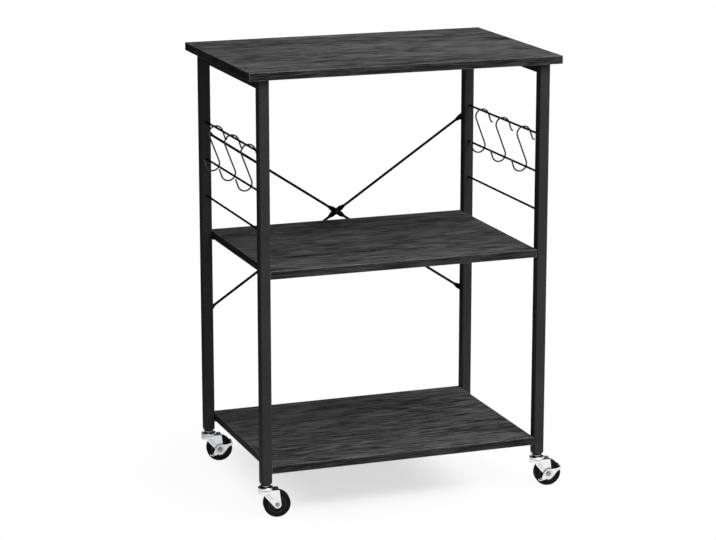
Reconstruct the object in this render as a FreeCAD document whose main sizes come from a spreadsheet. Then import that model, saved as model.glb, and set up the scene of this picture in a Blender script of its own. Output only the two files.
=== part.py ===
import FreeCAD, Part
import math
import operator
import os
import Sketcher

# Three tier serving cart on four swivel casters.
# +Z is up and Z = 0 is the floor. +X is to the right and +Y is away from the user.
# The origin is the middle of the floor space that the cart takes up, casters included.
# Lengths are millimetres and angles are degrees.

SIZES = (
    ("frame_x", -8.78, "middle of the four legs from the origin, to the right"),
    ("frame_y", 0.68, "middle of the four legs from the origin, to the back"),
    ("board_thick", 15, "thickness of all three boards"),
    ("board_arris", 0.8, "rounding of the board edges"),
    ("top_length", 600, "top board, side to side"),
    ("top_depth", 400, "top board, front to back"),
    ("top_height", 823, "upper face of the top board"),
    ("shelf_length", 520, "shelf board, side to side, between the legs"),
    ("shelf_depth", 376, "shelf board, front to back"),
    ("middle_height", 461, "upper face of the middle shelf"),
    ("bottom_height", 97, "upper face of the bottom shelf"),
    ("tube_width", 20, "square tube of the legs and rails"),
    ("tube_wall", 1.2, "wall of the square tube"),
    ("tube_corner", 2.5, "outer corner radius of the square tube"),
    ("leg_gap_x", 540, "leg centres, side to side"),
    ("leg_gap_y", 360, "leg centres, front to back"),
    ("leg_start", 68, "lower end of the leg tube"),
    ("rail_depth", 18, "height of the top rail tube"),
    ("rod_radius", 2, "side rod"),
    ("rod_lowest", 531, "lowest side rod"),
    ("rod_pitch", 71.5, "from one side rod to the next"),
    ("tab_reach", 24, "shelf tab, from the leg inwards"),
    ("tab_width", 14, "shelf tab, front to back"),
    ("tab_thick", 1.5, "shelf tab"),
    ("tab_round", 4.5, "rounding of the shelf tab's free corners"),
    ("tab_inset", 7, "middle of the shelf tab from the middle of its leg, inwards along Y"),
    ("tab_hole_reach", 14, "screw from the leg face"),
    ("screw_radius", 2, "wood screw shank"),
    ("screw_head_radius", 3.8, "wood screw head"),
    ("screw_head_high", 1.6, "wood screw head"),
    ("head_face", 0.7, "flat face of a screw head, as a share of its radius"),
    ("head_edge", 0.4, "underside to rim of a screw head, as a share of its height"),
    ("screw_point", 0.3, "end of the wood screw's tip, as a share of its shank"),
    ("screw_bite", 11, "wood screw in the board"),
    ("screw_slack", 0.05, "pilot and clearance holes, on the radius"),
    ("rail_screw_y", 120, "top board screws from the middle of the rail"),
    ("access_radius", 5, "driver hole in the underside of the rail"),
    ("brace_radius", 2.5, "cross brace rod"),
    ("brace_low", 296.7, "lower brace screws"),
    ("brace_high", 655.3, "upper brace screws"),
    ("brace_flat_wide", 10, "flattened end of the brace"),
    ("brace_flat_thick", 2.4, "flattened end of the brace"),
    ("brace_flat_long", 15, "flattened end inboard of its screw"),
    ("brace_tip", 6, "flattened end outboard of its screw"),
    ("brace_tip_round", 4.5, "rounding of the flattened end"),
    ("brace_neck", 9, "from flat to round"),
    ("brace_middle_long", 11, "half of the flat at the crossing"),
    ("rivet_radius", 2, "rivet at the crossing"),
    ("rivet_head_radius", 4, "rivet head"),
    ("rivet_face_radius", 2.4, "flat face of the rivet head"),
    ("rivet_head_high", 1.4, "rivet head"),
    ("bolt_radius", 2.5, "brace screw"),
    ("bolt_long", 12, "brace screw under its head"),
    ("bolt_head_radius", 4.6, "brace screw head"),
    ("bolt_head_high", 2.6, "brace screw head"),
    ("insert_radius", 3.5, "rivet nut in the leg"),
    ("insert_long", 9, "rivet nut in the leg"),
    ("plug_bottom", 60, "lower end of the leg plug"),
    ("plug_end_radius", 7.7, "lower end of the leg plug"),
    ("plug_inner_wide", 17.4, "leg plug inside the tube"),
    ("plug_inner_high", 24, "leg plug inside the tube"),
    ("plug_cone_radius", 16, "second point of the plug's cone, from its axis"),
    ("plug_cone_high", 9.6, "second point of the plug's cone, above its lower end"),
    ("stem_radius", 4, "caster stem"),
    ("stem_top", 84, "upper end of the caster stem"),
    ("stem_chamfer", 1, "upper end of the caster stem"),
    ("collar_radius", 7.4, "collar between the plug and the swivel cap"),
    ("cap_radius", 14.5, "swivel cap"),
    ("cap_rim_top", 56.9, "raised rim of the swivel cap"),
    ("cap_rim_wide", 2.2, "raised rim of the swivel cap"),
    ("cap_floor", 56, "dished upper face of the swivel cap"),
    ("cap_under", 54.95, "underside of the cap over the balls"),
    ("cap_lip", 53.2, "lower edge of the cap"),
    ("cap_wall", 1.3, "cap lip"),
    ("kingpin_radius", 6, "riveted lower end of the stem"),
    ("kingpin_face", 4.2, "flat face of the riveted end, on the radius"),
    ("kingpin_high", 2, "riveted lower end of the stem"),
    ("kingpin_gap", 0.3, "between the crown and the riveted end"),
    ("ball_radius", 1.5, "bearing ball"),
    ("ball_circle", 8.6, "ring of bearing balls"),
    ("ball_height", 53.4, "middle of the bearing balls"),
    ("ball_slack", 0.05, "ball track, on the radius"),
    ("trail", 20, "wheel axle behind the swivel axis"),
    ("caster_turn", -10, "casters turned about their stems"),
    ("wheel_radius", 25, "caster wheel"),
    ("tyre_half", 8.8, "half of the tyre's width"),
    ("tyre_shoulder", 2.6, "rounding of the tyre's edges"),
    ("hub_radius", 17, "wheel hub where the tyre sits"),
    ("hub_rim", 2.4, "rim of the hub"),
    ("hub_rim_half", 8, "half of the rim's width"),
    ("hub_flare", 1.2, "slope from the rim to the web, on the radius"),
    ("hub_web_half", 3.2, "half of the web's width"),
    ("hub_boss_radius", 6.4, "hub boss"),
    ("hub_boss_half", 9.7, "half of the boss's width"),
    ("hub_boss_flare", 1, "slope from the boss to the web, on the radius"),
    ("hub_rib_thick", 1.6, "rib between the boss and the rim"),
    ("hub_rib_half", 6.2, "half of the rib's width"),
    ("axle_radius", 2.5, "wheel axle"),
    ("axle_head_radius", 3.8, "wheel axle head"),
    ("axle_head_high", 1.4, "wheel axle head"),
    ("axle_head_edge", 0.5, "straight edge of the wheel axle head"),
    ("axle_face_radius", 2.1, "flat face of the wheel axle head"),
    ("running_slack", 0.06, "bores that turn on a shaft, on the radius"),
    ("fork_half", 11.8, "half of the fork's width"),
    ("fork_sheet", 1.8, "sheet of the fork"),
    ("crown_sheet", 1.6, "sheet of the fork's crown"),
    ("crown_top", 52.6, "upper face of the fork's crown"),
    ("crown_back", 22.6, "rear end of the crown behind the swivel axis"),
    ("crown_nose", 14.5, "front of the crown before the swivel axis"),
    ("skirt_bottom", 45, "lower edge of the crown's front skirt"),
    ("cheek_front", -4, "front edge of the fork's cheeks"),
    ("cheek_start", 42.5, "where the cheeks start to slope"),
    ("toe_x", 29.75, "lower point of the cheeks before it is rounded"),
    ("toe_z", 2.68, "lower point of the cheeks before it is rounded"),
    ("toe_round", 7, "rounding about the axle"),
    ("fork_rib_high", 0.5, "pressed rib on the fork's cheek"),
    ("fork_rib_round", 1, "corners of the pressed rib"),
    ("lever_gap", 0.3, "between the fork and the brake lever"),
    ("lever_sheet", 1.5, "sheet of the brake lever"),
    ("lever_inner", 25.6, "tread of the brake lever from the axle"),
    ("lever_round", 1.1, "corners of the brake lever"),
    ("lever_ring_inner", 5.5, "pressed ring about the axle, on the radius"),
    ("lever_ring_outer", 7.1, "pressed ring about the axle, on the radius"),
    ("lever_ring_high", 0.5, "pressed ring about the axle"),
    ("lever_flange", 3, "bent out edge at the front of the brake lever"),
    ("run_out", 1, "how far a cut runs past a face"),
    ("hook_wire", 1.5, "hook wire radius"),
    ("hook_loop", 13.6, "centre line radius of the hook's loops"),
    ("hook_gap", 0.08, "between the hook and the rod that it hangs on"),
    ("hook_top_x", -1.5, "middle of the upper loop from the rod"),
    ("hook_low_x", -8.7, "middle of the lower loop from the rod"),
    ("hook_bottom", -81, "bottom of the lower loop's centre line from the rod"),
    ("hook_arm", 14, "straight end of each loop"),
    ("hook_arm_lean", 18, "lean of the straight ends"),
    ("hook_flick", 5, "radius of the turned out tip"),
    ("hook_pitch", 100, "from one hook to the next"),
)

doc = FreeCAD.newDocument("serving_cart")
sheet = doc.addObject("Spreadsheet::Sheet", "Sizes")
for row, (alias, value, note) in enumerate(SIZES, start=1):
    sheet.set("A%d" % row, alias)
    sheet.set("B%d" % row, str(value))
    sheet.set("C%d" % row, note)
    sheet.setAlias("B%d" % row, alias)
doc.recompute()


class Size:
    """A length or angle: its value now, and the sheet formula that keeps it so."""

    def __init__(self, value, formula):
        self.value = value
        self.formula = formula

    def __add__(self, other):
        return combined(self, "+", other)

    def __radd__(self, other):
        return combined(other, "+", self)

    def __sub__(self, other):
        return combined(self, "-", other)

    def __rsub__(self, other):
        return combined(other, "-", self)

    def __mul__(self, other):
        return combined(self, "*", other)

    def __rmul__(self, other):
        return combined(other, "*", self)

    def __truediv__(self, other):
        return combined(self, "/", other)

    def __neg__(self):
        return combined(0, "-", self)


SIGNS = {"+": operator.add, "-": operator.sub, "*": operator.mul, "/": operator.truediv}


def number(size):
    return size.value if isinstance(size, Size) else size


def formula(size):
    return size.formula if isinstance(size, Size) else repr(size)


def combined(left, sign, right):
    value = SIGNS[sign](number(left), number(right))
    return Size(value, "(%s %s %s)" % (formula(left), sign, formula(right)))


class Sheet:
    """The sheet's sizes, each under its own name."""


cart = Sheet()
for alias, value, note in SIZES:
    setattr(cart, alias, Size(float(getattr(sheet, alias)), "Sizes." + alias))

nodes = []


def bind(thing, name, size):
    """Set a property from the sheet, or to a plain number."""
    thing.setExpression(name, formula(size))


def along(edge, axis):
    """Whether a straight edge runs along X, Y or Z, given as 0, 1 or 2."""
    if not isinstance(edge.Curve, (Part.Line, Part.LineSegment)):
        return False
    return abs(edge.tangentAt(edge.FirstParameter)[axis]) > 0.999


def place(thing, x, y, z, turn=None):
    """Stand a piece in the cart, with an optional turn about Z."""
    bind(thing, "Placement.Base.x", cart.frame_x + x)
    bind(thing, "Placement.Base.y", cart.frame_y + y)
    bind(thing, "Placement.Base.z", z)
    if turn is not None:
        bind(thing, "Placement.Rotation.Angle", turn)


def new_body(label):
    body = doc.addObject("PartDesign::Body", label)
    body.Label = label
    nodes.append(body)
    return body


def own_plane(body, role):
    return next(item for item in body.Origin.OriginFeatures if item.Role == role)


def new_sketch(body, name, role, offset=(0, 0, 0)):
    """Empty sketch on one of the body's own planes."""
    sketch = body.newObject("Sketcher::SketchObject", name)
    sketch.AttachmentSupport = [(own_plane(body, role), "")]
    sketch.MapMode = "FlatFace"
    for axis, distance in zip("xyz", offset):
        bind(sketch, "AttachmentOffset.Base." + axis, distance)
    return sketch


def hold(sketch, kind, *where):
    """Constrain part of a sketch to a size, the last item given."""
    size = where[-1]
    constraint = Sketcher.Constraint(kind, *where[:-1], number(size))
    index = sketch.addConstraint(constraint)
    if isinstance(size, Size):
        sketch.setExpression("Constraints[%d]" % index, size.formula)


def draw_loop(sketch, corners):
    """Closed outline of straight sides, each corner tied to its two sizes."""
    first = sketch.GeometryCount
    points = [FreeCAD.Vector(number(x), number(y), 0) for x, y in corners]
    for index, point in enumerate(points):
        following = points[(index + 1) % len(points)]
        sketch.addGeometry(Part.LineSegment(point, following), False)
    for index, (x, y) in enumerate(corners):
        line = first + index
        following = first + (index + 1) % len(corners)
        sketch.addConstraint(Sketcher.Constraint("Coincident", line, 2, following, 1))
        hold(sketch, "DistanceX", line, 1, x)
        hold(sketch, "DistanceY", line, 1, y)


def draw_circle(sketch, x, y, radius):
    centre = FreeCAD.Vector(number(x), number(y), 0)
    upright = FreeCAD.Vector(0, 0, 1)
    circle = sketch.addGeometry(Part.Circle(centre, upright, number(radius)), False)
    hold(sketch, "DistanceX", circle, 3, x)
    hold(sketch, "DistanceY", circle, 3, y)
    hold(sketch, "Radius", circle, radius)


def rectangle(x, y, width, height):
    """Corners of a rectangle about a middle point."""
    return (
        (x - width / 2, y - height / 2),
        (x + width / 2, y - height / 2),
        (x + width / 2, y + height / 2),
        (x - width / 2, y + height / 2),
    )


def pad(body, name, sketch, length, symmetric=False):
    feature = body.newObject("PartDesign::Pad", name)
    feature.Profile = sketch
    feature.SideType = "Symmetric" if symmetric else "One side"
    bind(feature, "Length", length)
    doc.recompute()
    return feature


def pocket(body, name, sketch, length, symmetric=False, reverse=False):
    """Cut a sketch out of the body, and make sure that it cuts."""
    before = body.Shape.Volume
    feature = body.newObject("PartDesign::Pocket", name)
    feature.Profile = sketch
    feature.SideType = "Symmetric" if symmetric else "One side"
    feature.Reversed = reverse
    bind(feature, "Length", length)
    doc.recompute()
    if body.Shape.Volume > before - 0.01:
        raise ValueError("%s cuts nothing from %s" % (name, body.Label))
    return feature


def turn_profile(body, name, sketch, groove=False):
    """Turn a profile about its own upright axis, to add or to cut."""
    before = body.Shape.Volume if groove else 0
    kind = "PartDesign::Groove" if groove else "PartDesign::Revolution"
    feature = body.newObject(kind, name)
    feature.Profile = sketch
    feature.ReferenceAxis = (sketch, ["V_Axis"])
    feature.Angle = 360
    doc.recompute()
    if groove and body.Shape.Volume > before - 0.01:
        raise ValueError("%s cuts nothing from %s" % (name, body.Label))
    return feature


def soften(body, name, radius, chosen):
    """Round the edges of the body that the test picks out."""
    base = body.Tip
    edges = enumerate(base.Shape.Edges, start=1)
    names = ["Edge%d" % index for index, edge in edges if chosen(edge)]
    if not names:
        raise ValueError("%s finds no edge on %s" % (name, body.Label))
    feature = body.newObject("PartDesign::Fillet", name)
    feature.Base = (base, names)
    bind(feature, "Radius", radius)
    doc.recompute()
    return feature


def add_group(label, solids):
    """Like pieces in one node, each a solid of its own."""
    group = doc.addObject("Part::Feature", label)
    group.Label = label
    group.Shape = Part.makeCompound(solids)
    nodes.append(group)
    return group


def frame_point(x, y, z):
    """A point given from the middle of the legs, for shapes made in code."""
    return FreeCAD.Vector(number(cart.frame_x + x), number(cart.frame_y + y), number(z))


LEFT = -1
RIGHT = 1
FRONT = -1
BACK = 1
SIDES = (("left", LEFT), ("right", RIGHT))
CORNERS = (
    ("front_left", LEFT, FRONT),
    ("front_right", RIGHT, FRONT),
    ("back_left", LEFT, BACK),
    ("back_right", RIGHT, BACK),
)
BRAKED = ("front_right", "back_left")

leg_x = cart.leg_gap_x / 2
leg_y = cart.leg_gap_y / 2
board_under = cart.top_height - cart.board_thick
half_tube = cart.tube_width / 2
pilot_radius = cart.screw_radius + cart.screw_slack


def build_board(label, length, depth, top, screws):
    """Laminated board with softened edges and blind pilot holes in its underside."""
    body = new_body(label)
    plan = new_sketch(body, label + "_plan", "XY_Plane")
    draw_loop(plan, rectangle(0, 0, length, depth))
    pad(body, label + "_slab", plan, cart.board_thick)
    soften(body, label + "_arris", cart.board_arris, lambda edge: True)
    holes = new_sketch(body, label + "_holes", "XY_Plane")
    for x, y in screws:
        draw_circle(holes, x, y, pilot_radius)
    depth_cut = cart.screw_bite + cart.screw_slack
    pocket(body, label + "_pilots", holes, depth_cut, reverse=True)
    place(body, 0, 0, top - cart.board_thick)


def top_screw_places():
    return [
        (leg_x * side, cart.rail_screw_y * end)
        for name, side in SIDES
        for end in (FRONT, BACK)
    ]


def shelf_screw_places():
    reach = leg_x - half_tube - cart.tab_hole_reach
    return [(reach * side, (leg_y - cart.tab_inset) * end) for name, side, end in CORNERS]


def build_boards():
    build_board(
        "top_board", cart.top_length, cart.top_depth, cart.top_height, top_screw_places()
    )
    for label, top in (
        ("middle_shelf", cart.middle_height),
        ("bottom_shelf", cart.bottom_height),
    ):
        build_board(label, cart.shelf_length, cart.shelf_depth, top, shelf_screw_places())


def hollow_tube(body, label, role, wide, high, length, symmetric=False):
    """Square tube with rounded corners, along the normal of the plane."""
    outside = new_sketch(body, label + "_outside", role)
    draw_loop(outside, rectangle(0, 0, wide, high))
    pad(body, label + "_tube", outside, length, symmetric)
    axis = {"XY_Plane": 2, "XZ_Plane": 1, "YZ_Plane": 0}[role]
    soften(body, label + "_corners", cart.tube_corner, lambda edge: along(edge, axis))
    inside = new_sketch(body, label + "_inside", role)
    wall = cart.tube_wall * 2
    draw_loop(inside, rectangle(0, 0, wide - wall, high - wall))
    pocket(body, label + "_bore", inside, length * 2, symmetric=True)


def build_legs():
    """Leg tubes; the back pair has two holes for the rivet nuts of the cross brace."""
    for name, side, end in CORNERS:
        label = "leg_" + name
        body = new_body(label)
        length = board_under - cart.leg_start
        hollow_tube(body, label, "XY_Plane", cart.tube_width, cart.tube_width, length)
        if end == BACK:
            holes = new_sketch(body, label + "_holes", "XZ_Plane")
            for height in (cart.brace_low, cart.brace_high):
                draw_circle(holes, 0, height - cart.leg_start, cart.insert_radius)
            pocket(body, label + "_nut_holes", holes, cart.tube_width)
        place(body, leg_x * side, leg_y * end, cart.leg_start)


def build_top_rails():
    """Cross tubes under the top board, with two screw holes and their driver holes."""
    for name, side in SIDES:
        label = "top_rail_" + name
        body = new_body(label)
        length = cart.leg_gap_y - cart.tube_width
        hollow_tube(body, label, "XZ_Plane", cart.tube_width, cart.rail_depth, length, True)
        screw_holes = new_sketch(body, label + "_screw_holes", "XY_Plane")
        driver_holes = new_sketch(body, label + "_driver_holes", "XY_Plane")
        for end in (FRONT, BACK):
            draw_circle(screw_holes, 0, cart.rail_screw_y * end, pilot_radius)
            draw_circle(driver_holes, 0, cart.rail_screw_y * end, cart.access_radius)
        pocket(body, label + "_upper_holes", screw_holes, cart.rail_depth, reverse=True)
        pocket(body, label + "_lower_holes", driver_holes, cart.rail_depth)
        place(body, leg_x * side, 0, board_under - cart.rail_depth / 2)


def build_side_rods():
    """Three round rods on each side, welded between the front and back legs."""
    lying = FreeCAD.Rotation(FreeCAD.Vector(1, 0, 0), -90)
    for name, side in SIDES:
        for step, level in enumerate(("lower", "middle", "upper")):
            rod = doc.addObject("Part::Cylinder", "rod_%s_%s" % (name, level))
            rod.Label = "rod_%s_%s" % (name, level)
            rod.Placement.Rotation = lying
            bind(rod, "Radius", cart.rod_radius)
            bind(rod, "Height", cart.leg_gap_y - cart.tube_width)
            start = half_tube - leg_y
            place(rod, leg_x * side, start, cart.rod_lowest + cart.rod_pitch * step)
            nodes.append(rod)


def build_shelf_tabs():
    """Eight tabs welded to the inner faces of the legs; the shelves rest on them."""
    reach = number(cart.tab_reach)
    wide = number(cart.tab_width)
    thick = number(cart.tab_thick)
    across = leg_y - cart.tab_inset
    solids = []
    for top in (cart.middle_height, cart.bottom_height):
        for name, side, end in CORNERS:
            level = top - cart.board_thick - cart.tab_thick
            start = frame_point((leg_x - half_tube) * side, across * end, level)
            plate = Part.makeBox(reach, wide, thick, FreeCAD.Vector(0, -wide / 2, 0))
            tips = [
                edge for edge in plate.Edges
                if along(edge, 2) and edge.CenterOfMass.x > reach / 2
            ]
            plate = plate.makeFillet(number(cart.tab_round), tips)
            hole = Part.makeCylinder(
                number(pilot_radius), thick, FreeCAD.Vector(number(cart.tab_hole_reach), 0, 0)
            )
            plate = plate.cut(hole)
            if side == RIGHT:
                plate.rotate(FreeCAD.Vector(0, 0, 0), FreeCAD.Vector(0, 0, 1), 180)
            plate.translate(start)
            solids.append(plate)
    add_group("shelf_tabs", solids)


def screw_solid(shank, head, head_high, long, tip=0.0):
    """Pan head screw that points up from the underside of its head at Z = 0."""
    outline = [
        FreeCAD.Vector(0, 0, -head_high),
        FreeCAD.Vector(head * number(cart.head_face), 0, -head_high),
        FreeCAD.Vector(head, 0, -head_high * number(cart.head_edge)),
        FreeCAD.Vector(head, 0, 0),
        FreeCAD.Vector(shank, 0, 0),
        FreeCAD.Vector(shank, 0, long - tip),
        FreeCAD.Vector(shank * number(cart.screw_point), 0, long),
        FreeCAD.Vector(0, 0, long),
    ]
    face = Part.Face(Part.makePolygon(outline + outline[:1]))
    return face.revolve(FreeCAD.Vector(0, 0, 0), FreeCAD.Vector(0, 0, 1), 360)


def build_board_screws():
    """Wood screws: up through the tabs into the shelves, and through the top rails."""
    shank = number(cart.screw_radius)
    head = number(cart.screw_head_radius)
    high = number(cart.screw_head_high)
    bite = number(cart.screw_bite)
    solids = []
    for top in (cart.middle_height, cart.bottom_height):
        for x, y in shelf_screw_places():
            screw = screw_solid(shank, head, high, bite + number(cart.tab_thick), shank)
            screw.translate(frame_point(x, y, top - cart.board_thick - cart.tab_thick))
            solids.append(screw)
    add_group("shelf_screws", solids)
    solids = []
    for x, y in top_screw_places():
        screw = screw_solid(shank, head, high, bite + number(cart.tube_wall), shank)
        screw.translate(frame_point(x, y, board_under - cart.tube_wall))
        solids.append(screw)
    add_group("top_board_screws", solids)


def brace_section(sketch, thick, wide, facing):
    """Flattened section of the brace: its face lies on the rod's front or back line."""
    middle = (cart.brace_radius - thick / 2) * facing
    draw_loop(sketch, rectangle(middle, 0, thick, wide))


def build_brace_bar(label, facing, turn):
    """One bar of the cross brace: round rod, flat at both ends and at the crossing."""
    body = new_body(label)
    run = math.hypot(number(cart.leg_gap_x), number(cart.brace_high - cart.brace_low))
    rise = formula(cart.brace_high - cart.brace_low)
    half = Size(run / 2, "(sqrt(Sizes.leg_gap_x ^ 2 + %s ^ 2) / 2)" % rise)
    thin = cart.brace_flat_thick
    wide = cart.brace_flat_wide
    flat_start = half - cart.brace_flat_long
    round_end = flat_start - cart.brace_neck
    round_start = cart.brace_middle_long + cart.brace_neck

    crossing = new_sketch(body, label + "_crossing", "YZ_Plane")
    brace_section(crossing, cart.brace_radius, wide, facing)
    pad(body, label + "_crossing_flat", crossing, cart.brace_middle_long)
    steps = (
        (cart.brace_middle_long, round_start, facing, cart.brace_radius),
        (flat_start, round_end, FRONT, thin),
    )
    for index, (flat_at, round_at, side, thick) in enumerate(steps):
        flat = new_sketch(body, "%s_flat_%d" % (label, index), "YZ_Plane", (0, 0, flat_at))
        brace_section(flat, thick, wide, side)
        disc = new_sketch(body, "%s_round_%d" % (label, index), "YZ_Plane", (0, 0, round_at))
        draw_circle(disc, 0, 0, cart.brace_radius)
        if index == 0:
            rod = disc
        neck = body.newObject("PartDesign::AdditiveLoft", "%s_neck_%d" % (label, index))
        neck.Profile = flat
        neck.Sections = [disc]
        neck.Ruled = True
        if index == 0:
            doc.recompute()
            pad(body, label + "_rod", rod, round_end - round_start)
    doc.recompute()
    end_flat = new_sketch(body, label + "_end", "YZ_Plane", (0, 0, flat_start))
    brace_section(end_flat, thin, wide, FRONT)
    pad(body, label + "_end_flat", end_flat, cart.brace_flat_long + cart.brace_tip)
    tip_x = number(half + cart.brace_tip)
    soften(
        body,
        label + "_tip",
        cart.brace_tip_round,
        lambda edge: along(edge, 1) and abs(edge.CenterOfMass.x - tip_x) < 0.1,
    )
    hole = new_sketch(body, label + "_hole", "XZ_Plane")
    draw_circle(hole, half, 0, cart.bolt_radius + cart.screw_slack)
    pocket(body, label + "_screw_hole", hole, cart.tube_width, symmetric=True)
    other_half = body.newObject("PartDesign::Mirrored", label + "_other_half")
    other_half.TransformMode = "Whole shape"
    other_half.MirrorPlane = (own_plane(body, "YZ_Plane"), [""])
    body.Tip = other_half
    doc.recompute()
    rivet_hole = new_sketch(body, label + "_middle", "XZ_Plane")
    draw_circle(rivet_hole, 0, 0, cart.rivet_radius)
    pocket(body, label + "_rivet_hole", rivet_hole, cart.tube_width, symmetric=True)

    middle = (cart.brace_high + cart.brace_low) / 2
    body.Placement.Rotation = FreeCAD.Rotation(FreeCAD.Vector(0, 1, 0), 1)
    lean = Size(0, "(atan(%s / Sizes.leg_gap_x) * %d)" % (rise, turn))
    place(body, 0, leg_y + half_tube + cart.brace_radius, middle, lean)


def build_brace():
    """Cross brace on the back legs, with its rivet, screws and rivet nuts."""
    build_brace_bar("brace_bar_falling", FRONT, 1)
    build_brace_bar("brace_bar_rising", BACK, -1)

    radius = number(cart.rivet_radius)
    head = number(cart.rivet_head_radius)
    high = number(cart.rivet_head_high)
    thick = number(cart.brace_radius)
    outline = [
        FreeCAD.Vector(0, 0, -thick - high),
        FreeCAD.Vector(number(cart.rivet_face_radius), 0, -thick - high),
        FreeCAD.Vector(head, 0, -thick),
        FreeCAD.Vector(radius, 0, -thick),
    ]
    mirrored = [FreeCAD.Vector(point.x, 0, -point.z) for point in reversed(outline)]
    loop = outline + mirrored
    rivet = Part.Face(Part.makePolygon(loop + loop[:1]))
    rivet = rivet.revolve(FreeCAD.Vector(0, 0, 0), FreeCAD.Vector(0, 0, 1), 360)
    rivet.rotate(FreeCAD.Vector(0, 0, 0), FreeCAD.Vector(1, 0, 0), 90)
    middle = (cart.brace_high + cart.brace_low) / 2
    rivet.translate(frame_point(0, leg_y + half_tube + cart.brace_radius, middle))
    add_group("brace_rivet", [rivet])

    screws = []
    inserts = []
    for name, side in SIDES:
        for height in (cart.brace_low, cart.brace_high):
            screw = screw_solid(
                number(cart.bolt_radius),
                number(cart.bolt_head_radius),
                number(cart.bolt_head_high),
                number(cart.bolt_long),
            )
            screw.rotate(FreeCAD.Vector(0, 0, 0), FreeCAD.Vector(1, 0, 0), 90)
            seat = leg_y + half_tube + cart.brace_flat_thick
            screw.translate(frame_point(leg_x * side, seat, height))
            screws.append(screw)
            face = frame_point(leg_x * side, leg_y + half_tube, height)
            inwards = FreeCAD.Vector(0, -1, 0)
            long = number(cart.insert_long)
            sleeve = Part.makeCylinder(number(cart.insert_radius), long, face, inwards)
            bore_radius = number(cart.bolt_radius + cart.screw_slack)
            bore = Part.makeCylinder(bore_radius, long, face, inwards)
            inserts.append(sleeve.cut(bore))
    add_group("brace_screws", screws)
    add_group("brace_rivet_nuts", inserts)


def build_leg_plugs():
    """Plastic plugs that close the legs; the part below the tube narrows to a cone."""
    for name, side, end in CORNERS:
        label = "leg_plug_" + name
        body = new_body(label)
        lower = new_sketch(body, label + "_lower", "XY_Plane")
        draw_loop(lower, rectangle(0, 0, cart.tube_width, cart.tube_width))
        high = cart.leg_start - cart.plug_bottom
        pad(body, label + "_lower_block", lower, high)
        soften(body, label + "_corners", cart.tube_corner, lambda edge: along(edge, 2))
        upper = new_sketch(body, label + "_upper", "XY_Plane", (0, 0, high))
        draw_loop(upper, rectangle(0, 0, cart.plug_inner_wide, cart.plug_inner_wide))
        pad(body, label + "_upper_block", upper, cart.plug_inner_high)
        cone = new_sketch(body, label + "_cone", "XZ_Plane")
        corner = (
            (cart.plug_end_radius, -cart.run_out),
            (cart.tube_width, -cart.run_out),
            (cart.tube_width, high * 2),
            (cart.plug_cone_radius, cart.plug_cone_high),
            (cart.plug_end_radius, 0),
        )
        draw_loop(cone, corner)
        turn_profile(body, label + "_taper", cone, groove=True)
        bore = new_sketch(body, label + "_bore", "XY_Plane")
        draw_circle(bore, 0, 0, cart.stem_radius)
        deep = (cart.stem_top - cart.plug_bottom) * 2
        pocket(body, label + "_stem_bore", bore, deep, symmetric=True)
        place(body, leg_x * side, leg_y * end, cart.plug_bottom)


def build_caster_stem(name, x, y):
    """Stem, collar, swivel cap and riveted kingpin, turned as one piece."""
    label = "caster_stem_" + name
    body = new_body(label)
    profile = new_sketch(body, label + "_profile", "XZ_Plane")
    head_top = cart.crown_top - cart.crown_sheet - cart.kingpin_gap
    head_bottom = head_top - cart.kingpin_high
    inner = cart.cap_radius - cart.cap_wall
    rim = cart.cap_radius - cart.cap_rim_wide
    rise = cart.cap_rim_top - cart.cap_floor
    corners = (
        (0, head_bottom),
        (cart.kingpin_face, head_bottom),
        (cart.kingpin_radius, head_bottom + cart.kingpin_high / 2),
        (cart.kingpin_radius, head_top),
        (cart.stem_radius, head_top),
        (cart.stem_radius, cart.cap_under),
        (inner, cart.cap_under),
        (inner, cart.cap_lip),
        (cart.cap_radius, cart.cap_lip),
        (cart.cap_radius, cart.cap_rim_top - rise),
        (cart.cap_radius - rise, cart.cap_rim_top),
        (rim, cart.cap_rim_top),
        (rim - rise, cart.cap_floor),
        (cart.collar_radius, cart.cap_floor),
        (cart.collar_radius, cart.plug_bottom),
        (cart.stem_radius, cart.plug_bottom),
        (cart.stem_radius, cart.stem_top - cart.stem_chamfer),
        (cart.stem_radius - cart.stem_chamfer, cart.stem_top),
        (0, cart.stem_top),
    )
    draw_loop(profile, corners)
    turn_profile(body, label + "_turned", profile)
    place(body, x, y, 0)


BALLS = 9
HUB_RIBS = 6


def build_caster_balls(name, x, y):
    """Ring of bearing balls between the crown and the cap."""
    solids = []
    for index in range(BALLS):
        angle = 2 * math.pi * index / BALLS
        reach = number(cart.ball_circle)
        ball = Part.makeSphere(number(cart.ball_radius))
        ball.translate(frame_point(x, y, cart.ball_height))
        ball.translate(FreeCAD.Vector(reach * math.cos(angle), reach * math.sin(angle), 0))
        solids.append(ball)
    add_group("caster_balls_" + name, solids)


# Side view of the rib pressed into each cheek: X along the trail, Z up from the floor.
RIB_OUTSIDE = ((0.4, 44.2), (2.2, 45.8), (10.8, 35.7), (9.0, 34.1))
RIB_INSIDE = ((1.2, 44.2), (2.1, 45.0), (10.0, 35.7), (9.1, 34.9))


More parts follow.
